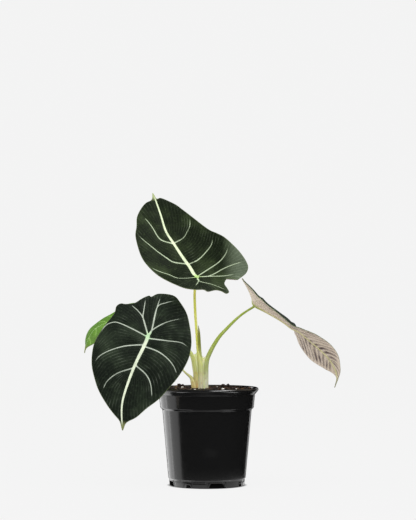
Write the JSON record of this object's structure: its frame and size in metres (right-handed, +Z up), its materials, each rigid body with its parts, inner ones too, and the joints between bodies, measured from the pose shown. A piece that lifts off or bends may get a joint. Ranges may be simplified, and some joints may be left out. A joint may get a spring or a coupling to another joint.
{
  "type": "potted aroid house plant",
  "caption": "Small aroid with dark velvety pale-veined leaves on slender stalks, rooted in bark soil in a round black nursery pot.",
  "frame": {"origin": "on the ground at the centre of the pot's underside", "axes": "+Z up, -Y towards the front, where two leaves face the viewer, +X to the viewer's right, where the third leaf is seen on edge"},
  "size_m": [0.2634, 0.1119, 0.3013],
  "materials": {
    "pot_plastic": "satin",
    "soil": "matte",
    "root": "matte",
    "stalk": "satin",
    "velvet_leaf": "matte",
    "young_leaf": "matte",
    "bark": "matte",
    "perlite": "matte"
  },
  "bodies": {
    "root": {"nursery_pot": "pot_plastic", "potting_soil": "soil", "rhizome_roots": "root", "petiole_top": "stalk", "petiole_right": "stalk", "petiole_front": "stalk", "petiole_left": "stalk", "new_leaf_spear": "stalk", "blade_top": "velvet_leaf", "blade_front": "velvet_leaf", "blade_right": "velvet_leaf", "blade_left": "young_leaf", "bark_chip_1": "bark", "bark_chip_2": "bark", "bark_chip_3": "bark", "bark_chip_4": "bark", "bark_chip_5": "bark", "bark_chip_6": "bark", "bark_chip_7": "bark", "bark_chip_8": "bark", "bark_chip_9": "bark", "bark_chip_10": "bark", "perlite_grain_1": "perlite", "perlite_grain_2": "perlite", "perlite_grain_3": "perlite", "perlite_grain_4": "perlite", "perlite_grain_5": "perlite", "perlite_grain_6": "perlite"}
  },
  "joints": []
}
